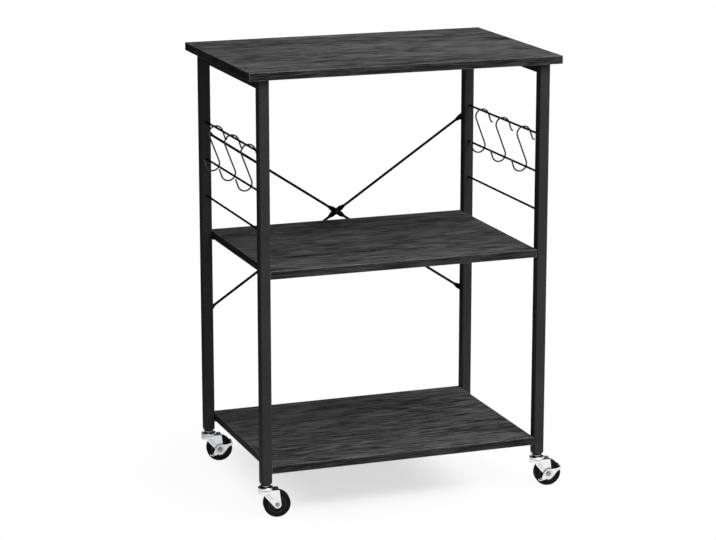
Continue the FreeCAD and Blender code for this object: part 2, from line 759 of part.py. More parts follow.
def build_fork(name, x, y):
    """Pressed steel fork: tongue shaped crown with a skirt, and two ribbed, sloping cheeks."""
    label = "caster_fork_" + name
    body = new_body(label)
    half = cart.fork_half
    nose = half - cart.crown_nose
    top = cart.crown_top
    plan = new_sketch(body, label + "_plan", "XY_Plane")
    back = cart.toe_x + cart.run_out
    draw_loop(plan, ((nose, -half), (back, -half), (back, half), (nose, half)))
    pad(body, label + "_block", plan, top)
    front = new_sketch(body, label + "_front", "XY_Plane")
    draw_circle(front, nose, 0, half)
    pad(body, label + "_front_block", front, top)
    rib = new_sketch(body, label + "_rib", "XZ_Plane")
    draw_loop(rib, RIB_OUTSIDE)
    pad(body, label + "_ribs", rib, (half + cart.fork_rib_high) * 2, symmetric=True)
    reach = number(half)
    soften(
        body,
        label + "_rib_ends",
        cart.fork_rib_round,
        lambda edge: along(edge, 1) and abs(edge.CenterOfMass.y) > reach,
    )

    inner = half - cart.fork_sheet
    ceiling = top - cart.crown_sheet
    hollow = new_sketch(body, label + "_hollow", "XY_Plane")
    past = back + cart.run_out
    draw_loop(hollow, ((nose, -inner), (past, -inner), (past, inner), (nose, inner)))
    pocket(body, label + "_wheel_room", hollow, ceiling, reverse=True)
    bowl = new_sketch(body, label + "_bowl", "XY_Plane")
    draw_circle(bowl, nose, 0, inner)
    pocket(body, label + "_nose_room", bowl, ceiling, reverse=True)
    dent = new_sketch(body, label + "_dent", "XZ_Plane")
    draw_loop(dent, RIB_INSIDE)
    pocket(body, label + "_rib_dents", dent, (inner + cart.fork_rib_high) * 2, symmetric=True)

    side = new_sketch(body, label + "_side", "XZ_Plane")
    around = cart.trail * 4
    draw_loop(side, ((-around, -around), (around, -around), (around, around), (-around, around)))
    before = -cart.crown_nose - cart.run_out
    above = top + cart.run_out
    outline = (
        (before, above),
        (before, cart.skirt_bottom),
        (cart.cheek_front, cart.skirt_bottom),
        (cart.cheek_front, cart.cheek_start),
        (cart.toe_x, cart.toe_z),
        (cart.crown_back + cart.run_out, above),
    )
    draw_loop(side, outline)
    pocket(body, label + "_cheeks", side, half * 4, symmetric=True)
    toe_z = number(cart.toe_z)
    soften(
        body,
        label + "_toes",
        cart.toe_round,
        lambda edge: along(edge, 1) and abs(edge.CenterOfMass.z - toe_z) < 2,
    )
    axle_hole = new_sketch(body, label + "_axle_hole", "XZ_Plane")
    draw_circle(axle_hole, cart.trail, cart.wheel_radius, cart.axle_radius)
    pocket(body, label + "_axle_holes", axle_hole, half * 4, symmetric=True)
    pin_hole = new_sketch(body, label + "_pin_hole", "XY_Plane", (0, 0, above))
    draw_circle(pin_hole, 0, 0, cart.stem_radius + cart.running_slack)
    pocket(body, label + "_kingpin_hole", pin_hole, cart.crown_sheet + cart.run_out * 2)
    track = new_sketch(body, label + "_track", "XZ_Plane")
    draw_circle(track, cart.ball_circle, cart.ball_height, cart.ball_radius + cart.ball_slack)
    turn_profile(body, label + "_ball_track", track, groove=True)
    place(body, x, y, 0, cart.caster_turn)


def axle_sketch(body, name):
    """Sketch whose upright axis is the wheel's axle; X is the distance from it."""
    return new_sketch(body, name, "XY_Plane", (cart.trail, 0, cart.wheel_radius))


def build_axle(name, x, y, braked):
    """Riveted axle; where there is a brake lever, the axle is longer to carry it."""
    label = "caster_axle_" + name
    body = new_body(label)
    reach = cart.fork_half
    if braked:
        reach = reach + cart.lever_gap + cart.lever_sheet
    head = cart.axle_head_radius
    high = cart.axle_head_high
    side = [
        (cart.axle_radius, reach),
        (head, reach),
        (head, reach + cart.axle_head_edge),
        (cart.axle_face_radius, reach + high),
        (0, reach + high),
    ]
    other = [(across, -height) for across, height in reversed(side)]
    profile = axle_sketch(body, label + "_profile")
    draw_loop(profile, side + other)
    turn_profile(body, label + "_turned", profile)
    place(body, x, y, 0, cart.caster_turn)


def add_hub_ribs(body, label):
    """Ribs from the boss to the rim, on both sides of the web."""
    before = body.Shape.Volume
    plan = new_sketch(body, label + "_rib_plan", "XZ_Plane", (cart.trail, cart.wheel_radius, 0))
    outer = cart.hub_radius - cart.hub_rim / 2
    length = outer - cart.hub_boss_radius + cart.hub_boss_flare
    draw_loop(plan, rectangle(outer - length / 2, 0, length, cart.hub_rib_thick))
    first = pad(body, label + "_rib", plan, cart.hub_rib_half * 2, symmetric=True)
    ribs = body.newObject("PartDesign::PolarPattern", label + "_ribs")
    ribs.Originals = [first]
    ribs.Axis = (plan, ["N_Axis"])
    ribs.Angle = 360
    ribs.Occurrences = HUB_RIBS
    body.Tip = ribs
    doc.recompute()
    if body.Shape.Volume < before + 0.01:
        raise ValueError("%s has no ribs" % label)


def build_wheel(name, x, y):
    """Wheel hub with a boss, ribs, web and rim, and the tyre moulded round it."""
    label = "wheel_hub_" + name
    body = new_body(label)
    profile = axle_sketch(body, label + "_profile")
    rim = cart.hub_radius - cart.hub_rim
    half = (
        (cart.hub_radius, cart.hub_rim_half),
        (rim, cart.hub_rim_half),
        (rim - cart.hub_flare, cart.hub_web_half),
        (cart.hub_boss_radius + cart.hub_boss_flare, cart.hub_web_half),
        (cart.hub_boss_radius, cart.hub_boss_half),
        (cart.axle_radius + cart.running_slack, cart.hub_boss_half),
    )
    other = tuple((across, -height) for across, height in reversed(half))
    draw_loop(profile, half + other)
    turn_profile(body, label + "_turned", profile)
    add_hub_ribs(body, label)
    place(body, x, y, 0, cart.caster_turn)

    label = "wheel_tyre_" + name
    body = new_body(label)
    profile = axle_sketch(body, label + "_profile")
    corners = (
        (cart.hub_radius, -cart.tyre_half),
        (cart.wheel_radius, -cart.tyre_half),
        (cart.wheel_radius, cart.tyre_half),
        (cart.hub_radius, cart.tyre_half),
    )
    draw_loop(profile, corners)
    turn_profile(body, label + "_turned", profile)
    tread = number(cart.wheel_radius)
    soften(
        body,
        label + "_shoulders",
        cart.tyre_shoulder,
        lambda edge: edge.BoundBox.ZLength > tread * 1.9 and not along(edge, 1),
    )
    place(body, x, y, 0, cart.caster_turn)


# Side view of the brake lever, from the axle: X along the trail, Z up.
LEVER_OUTLINE = (
    (-21.0, -7.6),
    (-19.2, -11.4),
    (-13.0, -13.2),
    (-6.5, -11.8),
    (-3.8, -10.2),
    (-1.0, -11.8),
    (4.5, -10.8),
    (9.0, -6.6),
    (18.0, 4.6),
    (26.2, 8.6),
    (24.6, 12.6),
    (16.0, 9.4),
    (9.0, 8.6),
    (3.6, 9.4),
    (-3.6, 8.4),
    (-8.4, 3.0),
    (-11.0, -4.4),
    (-12.6, -8.8),
    (-17.0, -9.4),
)
# The strip along its lower front edge that is bent outwards.
FLANGE_OUTLINE = (
    (-20.2, -9.3),
    (-19.2, -11.4),
    (-13.0, -13.2),
    (-12.6, -11.8),
    (-18.2, -10.2),
    (-18.9, -8.7),
)


def build_brake_lever(name, x, y):
    """Brake lever: two side plates with pressed rings, joined by a tread behind the wheel."""
    label = "brake_lever_" + name
    body = new_body(label)
    inner = cart.fork_half + cart.lever_gap
    outer = inner + cart.lever_sheet
    side = new_sketch(body, label + "_side", "XZ_Plane")
    draw_loop(side, [(cart.trail + x, cart.wheel_radius + z) for x, z in LEVER_OUTLINE])
    pad(body, label + "_block", side, outer * 2, symmetric=True)
    soften(body, label + "_corners", cart.lever_round, lambda edge: along(edge, 1))
    edge = new_sketch(body, label + "_edge", "XZ_Plane")
    draw_loop(edge, [(cart.trail + x, cart.wheel_radius + z) for x, z in FLANGE_OUTLINE])
    pad(body, label + "_flange", edge, (outer + cart.lever_flange) * 2, symmetric=True)
    room = new_sketch(body, label + "_room", "XZ_Plane")
    draw_circle(room, cart.trail, cart.wheel_radius, cart.lever_inner)
    pocket(body, label + "_wheel_room", room, inner * 2, symmetric=True)
    ring = axle_sketch(body, label + "_ring")
    across = (cart.lever_ring_inner + cart.lever_ring_outer) / 2
    wide = cart.lever_ring_outer - cart.lever_ring_inner
    for way in (FRONT, BACK):
        middle = (outer + cart.lever_ring_high / 2) * way
        draw_loop(ring, rectangle(across, middle, wide, cart.lever_ring_high))
    turn_profile(body, label + "_rings", ring)
    hole = new_sketch(body, label + "_hole", "XZ_Plane")
    draw_circle(hole, cart.trail, cart.wheel_radius, cart.axle_radius + cart.running_slack)
    pocket(body, label + "_axle_holes", hole, outer * 4, symmetric=True)
    place(body, x, y, 0, cart.caster_turn)


def build_casters():
    """Swivel casters, all trailing the same way; two of them have a brake lever."""
    for name, side, end in CORNERS:
        x = leg_x * side
        y = leg_y * end
        build_caster_stem(name, x, y)
        build_caster_balls(name, x, y)
        build_fork(name, x, y)
        build_axle(name, x, y, name in BRAKED)
        build_wheel(name, x, y)
        if name in BRAKED:
            build_brake_lever(name, x, y)


def hook_path():
    """Points along the centre line of a hook, from its turned out tip downwards."""
    loop = number(cart.hook_loop)
    hang = loop - number(cart.rod_radius + cart.hook_wire + cart.hook_gap)
    drop = math.sqrt(hang ** 2 - number(cart.hook_top_x) ** 2)
    upper = FreeCAD.Vector(number(cart.hook_top_x), -drop, 0)
    lower = FreeCAD.Vector(number(cart.hook_low_x), number(cart.hook_bottom) + loop, 0)
    lean = math.radians(number(cart.hook_arm_lean))
    apart = lower - upper
    centre_lean = math.atan2(-apart.x, -apart.y)
    stem_lean = math.asin(2 * loop / apart.Length) - centre_lean
    across = FreeCAD.Vector(math.cos(stem_lean), math.sin(stem_lean), 0)
    arm_side = FreeCAD.Vector(math.cos(lean), math.sin(lean), 0)
    arm_down = FreeCAD.Vector(math.sin(lean), -math.cos(lean), 0)
    arm = number(cart.hook_arm)
    flick = number(cart.hook_flick)
    arm_top = upper + arm_side * loop
    arm_end = arm_top + arm_down * arm
    flick_centre = arm_end + arm_side * flick
    tip = flick_centre - FreeCAD.Vector(0, flick, 0)
    flick_middle_lean = (lean + math.pi / 2) / 2
    flick_side = FreeCAD.Vector(-math.cos(flick_middle_lean), -math.sin(flick_middle_lean), 0)
    up = FreeCAD.Vector(0, loop, 0)
    return {
        "tip": tip,
        "flick_middle": flick_centre + flick_side * flick,
        "arm_end": arm_end,
        "arm_top": arm_top,
        "crest": upper + up,
        "stem_top": upper - across * loop,
        "stem_foot": lower + across * loop,
        "bottom": lower - up,
        "low_arm": lower - arm_side * loop,
        "low_tip": lower - arm_side * loop - arm_down * arm,
    }


def build_hook(label, x, y):
    """Wire hook bent in one plane, hung over the upper side rod."""
    body = new_body(label)
    at = hook_path()
    path = new_sketch(body, label + "_path", "XZ_Plane")
    path.addGeometry(Part.Arc(at["tip"], at["flick_middle"], at["arm_end"]), False)
    path.addGeometry(Part.LineSegment(at["arm_end"], at["arm_top"]), False)
    path.addGeometry(Part.Arc(at["arm_top"], at["crest"], at["stem_top"]), False)
    path.addGeometry(Part.LineSegment(at["stem_top"], at["stem_foot"]), False)
    path.addGeometry(Part.Arc(at["stem_foot"], at["bottom"], at["low_arm"]), False)
    path.addGeometry(Part.LineSegment(at["low_arm"], at["low_tip"]), False)
    wire = new_sketch(body, label + "_section", "XY_Plane")
    wire.AttachmentSupport = [(path, "Edge6")]
    wire.MapMode = "NormalToEdge"
    wire.MapPathParameter = 1
    draw_circle(wire, 0, 0, cart.hook_wire)
    doc.recompute()
    pipe = body.newObject("PartDesign::AdditivePipe", label + "_bent")
    pipe.Profile = wire
    pipe.Spine = (path, ["Edge%d" % index for index in range(1, 7)])
    doc.recompute()
    place(body, x, y, cart.rod_lowest + cart.rod_pitch * 2)


def build_hooks():
    """Three hooks on each side."""
    for name, side in SIDES:
        for step, where in ((-1, "front"), (0, "middle"), (1, "back")):
            build_hook("hook_%s_%s" % (name, where), leg_x * side, cart.hook_pitch * step)


def write_steps():
    """Check every object and every shape, then write one file for each node."""
    doc.recompute()
    for thing in doc.Objects:
        if "Invalid" in thing.State or "Error" in thing.State:
            raise ValueError("%s failed: %s" % (thing.Label, thing.State))
    for node in nodes:
        if node.Shape.isNull() or not node.Shape.isValid():
            raise ValueError("%s has no valid shape" % node.Label)
    os.makedirs("parts", exist_ok=True)
    for node in nodes:
        node.Shape.exportStep("parts/%s.step" % node.Label)


build_boards()
build_legs()
build_top_rails()
build_side_rods()
build_shelf_tabs()
build_board_screws()
build_brace()
build_leg_plugs()
build_casters()
build_hooks()
write_steps()
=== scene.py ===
import math

import bpy
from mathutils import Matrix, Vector


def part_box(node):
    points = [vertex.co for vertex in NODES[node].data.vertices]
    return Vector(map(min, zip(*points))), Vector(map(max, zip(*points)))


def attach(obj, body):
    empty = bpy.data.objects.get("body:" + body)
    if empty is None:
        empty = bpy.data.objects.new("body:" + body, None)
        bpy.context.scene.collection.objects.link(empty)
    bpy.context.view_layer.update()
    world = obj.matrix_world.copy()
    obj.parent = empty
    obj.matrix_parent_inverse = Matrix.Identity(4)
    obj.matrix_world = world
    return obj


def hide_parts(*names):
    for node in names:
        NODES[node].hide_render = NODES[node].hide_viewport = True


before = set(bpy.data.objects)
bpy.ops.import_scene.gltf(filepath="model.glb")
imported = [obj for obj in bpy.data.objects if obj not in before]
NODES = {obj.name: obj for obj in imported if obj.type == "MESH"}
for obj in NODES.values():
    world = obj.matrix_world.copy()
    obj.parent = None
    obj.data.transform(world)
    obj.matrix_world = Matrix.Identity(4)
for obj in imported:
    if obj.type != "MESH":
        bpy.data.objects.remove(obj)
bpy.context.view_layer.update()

bl_info = {
    "name": "Serving Cart Finishes",
    "version": (1, 0, 0),
    "blender": (4, 5, 0),
    "location": "View3D > Sidebar > Cart",
    "description": "Finishes and fine detail for a three tier serving cart",
    "category": "Object",
}

CORNERS = ("front_left", "front_right", "back_left", "back_right")
# Lengths are in metres. One that is written in millimetres is multiplied by this.
MM = 0.001
# Most of a noise texture lies between these two.
NOISE_LOW, NOISE_HIGH = 0.3, 0.7


def shade(hex_code):
    """An sRGB hex value as linear red, green and blue."""
    parts = [int(hex_code[i:i + 2], 16) / 255 for i in (1, 3, 5)]
    return tuple(p / 12.92 if p <= 0.04045 else ((p + 0.055) / 1.055) ** 2.4 for p in parts)


def colour(name, hex_code, description):
    """Setting for a colour, given as a hex value."""
    return bpy.props.FloatVectorProperty(
        name=name, description=description, default=shade(hex_code),
        size=3, min=0, max=1, subtype="COLOR")


def length(name, millimetres, description):
    """Setting for a length, given in millimetres."""
    return bpy.props.FloatProperty(
        name=name, description=description, default=millimetres * MM,
        min=0, unit="LENGTH", subtype="DISTANCE")


def power(name, watts, description):
    """Setting for the power of a lamp."""
    return bpy.props.FloatProperty(
        name=name, description=description, default=watts, min=0, unit="POWER")


class CartBoardSettings(bpy.types.PropertyGroup):
    """Laminate of the three boards"""
    dark: colour("Dark Grain", "#121212", "Early wood streaks of the printed oak")
    light: colour("Light Grain", "#686868", "Late wood streaks of the printed oak")
    # The edge band's dark tone is partly painted shade on the upright faces.
    band: colour("Edge Band", "#202020", "Plain tone of the edge band, over which grain is faint")
    # The paler colour along the boards' edges is a painted highlight.
    arris_highlight: colour("Rubbed Arris", "#b8b8b8", "Edge of the sheet where the edge band meets it")
    streak: length("Streak Width", 3.4, "Width of one streak of the grain")
    pore: length("Pore Width", 1.2, "Width of one pore of the embossed surface")
    emboss: length("Pore Depth", 0.1, "Depth of the embossed surface")
    # Width of the painted highlight along the boards' edges.
    highlight_reach: length("Rubbed Line", 1.8, "Distance from an edge within which it is rubbed")


class CartMetalSettings(bpy.types.PropertyGroup):
    """Painted and plated steel"""
    paint: colour("Leg Paint", "#353536", "Satin black powder coat of the legs and rails")
    rod: colour("Rod Paint", "#0f0f10", "Black coat of the rods and the cross brace")
    zinc: colour("Zinc", "#eff0f2", "Bright zinc plate of the casters")
    # The dark colour that the casters' corners fade to is painted shade.
    painted_shade: colour("Grease", "#171717", "Dark grease in the corners of the casters")
    screw: colour("Screws", "#3c3c3e", "Black zinc of the screws and rivets")
    wire: colour("Hook Wire", "#0d0d0e", "Glossy black coat of the hooks")
    peel: length("Paint Grain", 0.8, "Width of one dimple of the powder coat's orange peel")
    bead: length("Weld Bead", 0.9, "Radius of the weld beads")
    ripple: length("Weld Ripple", 1.3, "Distance between the ripples of a weld")
    uneven: bpy.props.FloatProperty(
        name="Weld Unevenness", description="Share by which the radius of a weld varies",
        default=0.2, min=0, max=1, subtype="FACTOR")
    seed: bpy.props.IntProperty(
        name="Weld Seed", description="Seed of the unevenness", default=4, min=0)


class CartScrewSettings(bpy.types.PropertyGroup):
    """Screws of the cross brace and the boards"""
    brace_head: length("Brace Screw Head", 4.6, "Radius of the brace screws' heads")
    brace_high: length("Brace Screw Height", 2.6, "Height of the brace screws' heads")
    brace_shank: length("Brace Screw Shank", 2.1, "Radius of the brace screws' shanks")
    board_head: length("Board Screw Head", 3.8, "Radius of the board screws' heads")
    board_high: length("Board Screw Height", 1.6, "Height of the board screws' heads")
    board_shank: length("Board Screw Shank", 1.6, "Radius of the board screws' shanks")
    brace_pitch: length("Brace Screw Pitch", 0.8, "Thread pitch of the brace screws")
    board_pitch: length("Board Screw Pitch", 1.2, "Thread pitch of the board screws")
    long: length("Screw Length", 12, "Length of every screw below its head")


class CartRubberSettings(bpy.types.PropertyGroup):
    """Wheels and moulded plugs"""
    tyre: colour("Tyre", "#0e0e0e", "Black rubber of the tyres")
    plastic: colour("Plastic", "#161617", "Black plastic of the plugs and hubs")


class CartStageSettings(bpy.types.PropertyGroup):
    """Floor, lamps and camera"""
    floor: colour("Floor", "#ffffff", "Pale floor under the cart")
    key: power("Key Lamp", 72, "Lamp high in front of the cart, on the right")
    over: power("Over Lamp", 8, "Large soft lamp over the cart")
    lens: bpy.props.FloatProperty(
        name="Lens", description="Focal length of the camera in millimetres",
        default=126.51, min=10, max=400)


def add_node(tree, kind, settings=None, inputs=None):
    """Add a node with its settings; an input is a value, a node's output or a list of outputs."""
    node = tree.nodes.new(kind)
    for name, value in (settings or {}).items():
        setattr(node, name, value)
    for name, value in (inputs or {}).items():
        sources = [value] if isinstance(value, bpy.types.NodeSocket) else value
        if isinstance(sources, list):
            for source in sources:
                tree.links.new(source, node.inputs[name])
        else:
            node.inputs[name].default_value = value
    return node.outputs


def start_material(name):
    """An empty material, its tree and the Object coordinates in it."""
    material = bpy.data.materials.new(name)
    material.use_nodes = True
    material.node_tree.nodes.clear()
    place = add_node(material.node_tree, "ShaderNodeTexCoord")["Object"]
    return material, material.node_tree, place


def tinted(base, factor):
    """A colour made darker or paler, with its alpha."""
    return tuple(min(channel * factor, 1.0) for channel in base) + (1.0,)


def dress(tree, tone, gloss, height, depth, constants):
    """Surface from a colour, a roughness and a relief whose depth is a length."""
    relief = add_node(tree, "ShaderNodeBump", None, {"Height": height, "Distance": depth})
    surface = add_node(tree, "ShaderNodeBsdfPrincipled", None, {
        "Base Color": tone, "Roughness": gloss, "Normal": relief[0], **constants})
    add_node(tree, "ShaderNodeOutputMaterial", None, {"Surface": surface[0]})


def oak_grain(tree, place, facing):
    """Coordinates that follow the grain, straight and as it wanders."""
    # The edge band on the two ends has its grain along the edge.
    least_sideways = 0.7
    sideways = add_node(tree, "ShaderNodeMath", {"operation": "ABSOLUTE"}, {0: facing["X"]})
    on_end = add_node(
        tree, "ShaderNodeMath", {"operation": "GREATER_THAN"}, {0: sideways[0], 1: least_sideways})
    axes = add_node(tree, "ShaderNodeSeparateXYZ", None, {"Vector": place})
    turned = add_node(
        tree, "ShaderNodeCombineXYZ", None, {"X": axes["Y"], "Y": axes["X"], "Z": axes["Z"]})
    grain = add_node(
        tree, "ShaderNodeMix", {"data_type": "VECTOR"},
        {"Factor": on_end[0], "A": place, "B": turned[0]})["Result"]
    # The grain wanders sideways by up to 25 mm over half a metre.
    waves_per_metre = (2.2, 9, 9)
    wander = 50 * MM
    slow = add_node(tree, "ShaderNodeMapping", None, {"Vector": grain, "Scale": waves_per_metre})
    bend = add_node(tree, "ShaderNodeTexNoise", None, {"Vector": slow[0], "Scale": 1.0})
    sway = add_node(tree, "ShaderNodeCombineXYZ", None, {"Y": bend["Fac"], "Z": bend["Fac"]})
    bent = add_node(
        tree, "ShaderNodeVectorMath", {"operation": "MULTIPLY_ADD"},
        {0: sway[0], 1: (0, wander, wander), 2: grain})
    return grain, bent[0]


def black_oak_laminate(settings):
    """Melamine paper printed as black oak and pressed on a plate: grey streaks, pores, satin."""
    material, tree, place = start_material("black_oak_laminate")
    normals = add_node(tree, "ShaderNodeNewGeometry")
    facing = add_node(tree, "ShaderNodeSeparateXYZ", None, {"Vector": normals["True Normal"]})
    grain, bent = oak_grain(tree, place, facing)

    # Each pattern's waves per metre, along the grain first. A streak is 22 times as long as it
    # is wide, a pore 33 times, and a patch of the figure is about 330 mm long and 42 mm wide.
    across = 1 / settings.streak
    narrow = 1 / settings.pore
    streak_waves = (across * 0.045, across, across)
    figure_waves = (3.0, 24, 24)
    pore_waves = (narrow * 0.03, narrow, narrow)
    fields = {}
    for name, source, waves, detail, rough in (
            ("streaks", bent, streak_waves, 6.0, 0.68),
            ("figure", bent, figure_waves, 3.0, 0.55),
            ("pores", grain, pore_waves, 1.0, 0.5)):
        drawn = add_node(tree, "ShaderNodeMapping", None, {"Vector": source, "Scale": waves})
        fields[name] = add_node(tree, "ShaderNodeTexNoise", None, {
            "Vector": drawn[0], "Scale": 1.0, "Detail": detail, "Roughness": rough})["Fac"]

    # The figure shifts the streaks a little. Their noise goes from dark to light between two
    # of its values, and the pores are dark over both.
    figure_share = 0.18
    darkest, lightest = 0.405, 0.595
    pore_begins, pore_full = 0.55, 0.66
    pore_cover, pore_tint = 0.7, 0.4
    pore = add_node(tree, "ShaderNodeMapRange", None, {
        "Value": fields["pores"], "From Min": pore_begins, "From Max": pore_full})
    mixed = add_node(
        tree, "ShaderNodeMix", {"data_type": "FLOAT"},
        {"Factor": figure_share, "A": fields["streaks"], "B": fields["figure"]})["Result"]
    share = add_node(tree, "ShaderNodeMapRange", {"interpolation_type": "SMOOTHSTEP"}, {
        "Value": mixed, "From Min": darkest, "From Max": lightest})
    streaked = add_node(
        tree, "ShaderNodeMix", {"data_type": "RGBA"},
        {"Factor": share[0], "A": tinted(settings.dark, 1), "B": tinted(settings.light, 1)})
    filled = add_node(
        tree, "ShaderNodeMath", {"operation": "MULTIPLY"}, {0: pore[0], 1: pore_cover})
    printed = add_node(
        tree, "ShaderNodeMix", {"data_type": "RGBA"},
        {"Factor": filled[0], "A": streaked["Result"], "B": tinted(settings.dark, pore_tint)})

    # The edge band on the upright faces is darker than the sheets, partly its own tone and partly
    # painted shade, and its grain is faint.
    band_ends, sheet_begins = 0.5, 0.8
    band_cover = 0.7
    upright = add_node(tree, "ShaderNodeMath", {"operation": "ABSOLUTE"}, {0: facing["Z"]})
    banded = add_node(tree, "ShaderNodeMapRange", None, {
        "Value": upright[0], "From Min": band_ends, "From Max": sheet_begins,
        "To Min": band_cover, "To Max": 0.0})
    banded_tone = add_node(
        tree, "ShaderNodeMix", {"data_type": "RGBA"},
        {"Factor": banded[0], "A": printed["Result"], "B": tinted(settings.band, 1)})

    # The edge where sheet and edge band meet gets a paler line, a painted highlight. The real line
    # is under a millimetre wide, and is drawn twice as wide to show.
    flat, most_bent = 0.985, 0.92
    highlight_cover = 0.7
    rounded = add_node(tree, "ShaderNodeBevel", {"samples": 6}, {"Radius": settings.highlight_reach})
    bent_by = add_node(
        tree, "ShaderNodeVectorMath", {"operation": "DOT_PRODUCT"},
        {0: rounded[0], 1: normals["True Normal"]})
    # The bent normals near an edge mark where the highlight is painted.
    highlighted = add_node(tree, "ShaderNodeMapRange", None, {
        "Value": bent_by["Value"], "From Min": flat, "From Max": most_bent,
        "To Max": highlight_cover})
    tone = add_node(
        tree, "ShaderNodeMix", {"data_type": "RGBA"},
        {"Factor": highlighted[0], "A": banded_tone["Result"], "B": tinted(settings.arris_highlight, 1)})

    # The pores are sunk and duller, and the streaks stand up by half as much.
    pressed_gloss, pore_gloss = 0.5, 0.68
    streak_rise = 0.5
    gloss = add_node(tree, "ShaderNodeMapRange", None, {
        "Value": pore[0], "To Min": pressed_gloss, "To Max": pore_gloss})
    raised = add_node(
        tree, "ShaderNodeMath", {"operation": "MULTIPLY"}, {0: fields["streaks"], 1: streak_rise})
    height = add_node(
        tree, "ShaderNodeMath", {"operation": "SUBTRACT"}, {0: raised[0], 1: pore[0]})
    dress(
        tree, tone["Result"], gloss[0], height[0], settings.emboss, {"Specular IOR Level": 0.03})
    return material


def clouds(tree, place, cloud_size, grain_size, gloss):
    """Soft clouds, the roughness that drifts with them, and a fine even grain."""
    cloud = add_node(tree, "ShaderNodeTexNoise", None, {
        "Vector": place, "Scale": 1 / cloud_size, "Detail": 4.0, "Roughness": 0.6})["Fac"]
    grain = add_node(tree, "ShaderNodeTexNoise", None, {
        "Vector": place, "Scale": 1 / grain_size, "Detail": 2.0})["Fac"]
    rough = add_node(tree, "ShaderNodeMapRange", None, {
        "Value": cloud, "From Min": NOISE_LOW, "From Max": NOISE_HIGH,
        "To Min": gloss[0], "To Max": gloss[1]})
    return cloud, rough[0], grain


def clouded_finish(name, base, spread, cloud_size, grain_size, depth, gloss, constants):
    """Finish whose colour and gloss drift in soft clouds over a fine, even relief."""
    material, tree, place = start_material(name)
    cloud, rough, grain = clouds(tree, place, cloud_size, grain_size, gloss)
    share = add_node(tree, "ShaderNodeMapRange", None, {
        "Value": cloud, "From Min": NOISE_LOW, "From Max": NOISE_HIGH})
    tone = add_node(
        tree, "ShaderNodeMix", {"data_type": "RGBA"},
        {"Factor": share[0], "A": tinted(base, 1 - spread), "B": tinted(base, 1 + spread)})
    dress(tree, tone["Result"], rough, grain, depth, constants)
    return material


def powder_coat(name, base, settings):
    """Polyester powder baked on steel: satin black with a fine orange peel."""
    return clouded_finish(
        name, base, spread=0.12, cloud_size=70 * MM, grain_size=settings.peel, depth=0.04 * MM,
        gloss=(0.45, 0.58), constants={"Specular IOR Level": 0.04})


def wire_coat(settings):
    """Dip coat on bent wire: thin, black and glossy, with a bright line along each bend."""
    return clouded_finish(
        "glossy_dip_coat", settings.wire, spread=0.2, cloud_size=4 * MM, grain_size=2.5 * MM,
        depth=0.03 * MM, gloss=(0.12, 0.2), constants={"Specular IOR Level": 0.6})


def bright_zinc(name, shade_factor, settings):
    """Zinc plate on pressed steel: bright and cool, clouded by the bath, with painted shade in its
    corners.

    The second argument is the share of the zinc's brightness that is kept; below 1 it makes a
    darker copy, painted shade.
    """
    material, tree, place = start_material(name)
    cloud, rough, grain = clouds(
        tree, place, cloud_size=7 * MM, grain_size=1.6 * MM, gloss=(0.12, 0.24))
    dull, bright = 0.88, 1.08
    plated = add_node(
        tree, "ShaderNodeMix", {"data_type": "RGBA"},
        {"Factor": cloud, "A": tinted(settings.zinc, dull * shade_factor),
         "B": tinted(settings.zinc, bright * shade_factor)})
    # Painted shade is full where metal within this distance leaves a point only 62% open, and
    # fades to nothing in the open.
    corner_size = 4.5 * MM
    fully_shaded, unshaded = 0.62, 0.98
    relief = 0.02 * MM
    corner = add_node(
        tree, "ShaderNodeAmbientOcclusion", {"samples": 8}, {"Distance": corner_size})["AO"]
    shaded = add_node(tree, "ShaderNodeMapRange", None, {
        "Value": corner, "From Min": fully_shaded, "From Max": unshaded, "To Min": 1.0, "To Max": 0.0})
    # The corners are darkened towards that colour: painted shade.
    tone = add_node(
        tree, "ShaderNodeMix", {"data_type": "RGBA"},
        {"Factor": shaded[0], "A": plated["Result"], "B": tinted(settings.painted_shade, 1)})
    dress(tree, tone["Result"], rough, grain, relief, {"Metallic": 1.0})
    return material


def black_zinc(settings):
    """Black zinc on screws and rivets: dark metal with a soft shine."""
    return clouded_finish(
        "black_zinc_plate", settings.screw, spread=0.35, cloud_size=2 * MM, grain_size=0.9 * MM,
        depth=0.02 * MM, gloss=(0.26, 0.42), constants={"Metallic": 1.0})


def moulded_plastic(settings):
    """Injection moulded polypropylene: black, semi matt, with a spark eroded grain."""
    return clouded_finish(
        "moulded_polypropylene", settings.plastic, spread=0.15, cloud_size=16 * MM,
        grain_size=0.6 * MM, depth=0.03 * MM, gloss=(0.42, 0.55),
        constants={"Specular IOR Level": 0.35})


def tyre_rubber(settings):
    """Black rubber tyre: matt, with a little dust."""
    return clouded_finish(
        "black_rubber", settings.tyre, spread=0.4, cloud_size=12 * MM, grain_size=1.0 * MM,
        depth=0.05 * MM, gloss=(0.6, 0.8), constants={"Specular IOR Level": 0.12})


def finish_nodes(material, names):
    """Give the frame's own pieces a finish."""
    for name in names:
        piece = NODES[name]
        for slot in piece.material_slots:
            slot.material = material
        if not piece.material_slots:
            piece.data.materials.append(material)


def named(*beginnings):
    """The frame's pieces whose names begin in one of these ways."""
    return [name for name in NODES if name.startswith(beginnings)]


def source_mesh(name, points, edges=(), faces=()):
    """Plain object made of these points, edges and faces."""
    mesh = bpy.data.meshes.new(name)
    mesh.from_pydata(points, edges, faces)
    piece = bpy.data.objects.new(name, mesh)
    bpy.context.scene.collection.objects.link(piece)
    return piece


